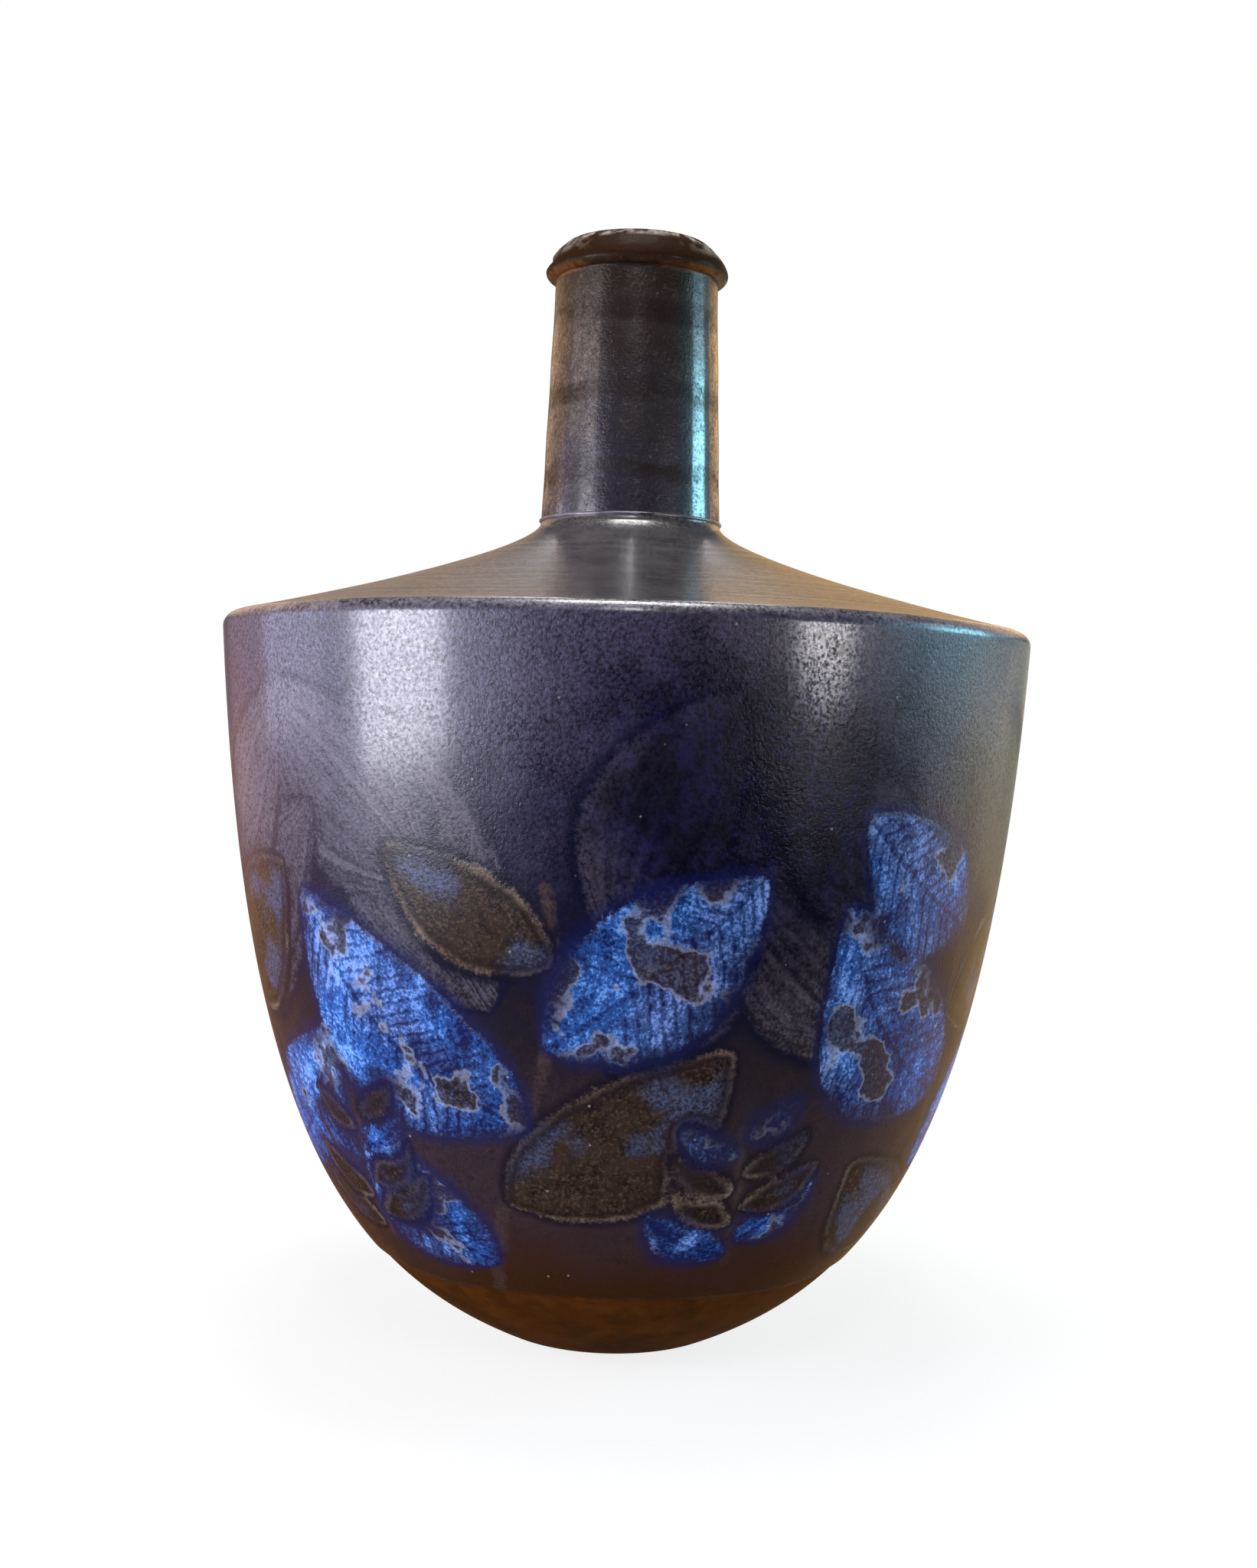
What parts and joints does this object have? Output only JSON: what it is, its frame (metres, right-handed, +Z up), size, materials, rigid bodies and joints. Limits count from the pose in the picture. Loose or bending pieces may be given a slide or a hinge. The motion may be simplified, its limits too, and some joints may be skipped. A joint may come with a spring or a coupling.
{
  "type": "stoneware vase",
  "caption": "Tall stoneware vase with a deep rounded body, a wide sharp-edged shoulder, a narrow neck with a rolled lip and a low foot ring, for holding stems and water.",
  "frame": {"origin": "centre of the foot ring's standing face, on the table", "axes": "+Z up along the vase's axis, -Y towards the viewer of the picture, +X to that viewer's right"},
  "size_m": [0.19, 0.19, 0.2597],
  "materials": {
    "body_glaze": "dark indigo lustre glaze over stoneware",
    "neck_glaze": "brown-black lustre glaze over stoneware",
    "bare_clay": "unglazed fired stoneware",
    "slip": "fired joining slip"
  },
  "bodies": {
    "root": {"foot_ring": "bare_clay", "foot_slip": "slip", "bowl": "body_glaze", "shoulder_slip": "slip", "shoulder": "body_glaze", "neck_slip": "slip", "neck": "neck_glaze", "lip_slip": "slip", "lip": "neck_glaze"}
  },
  "joints": []
}
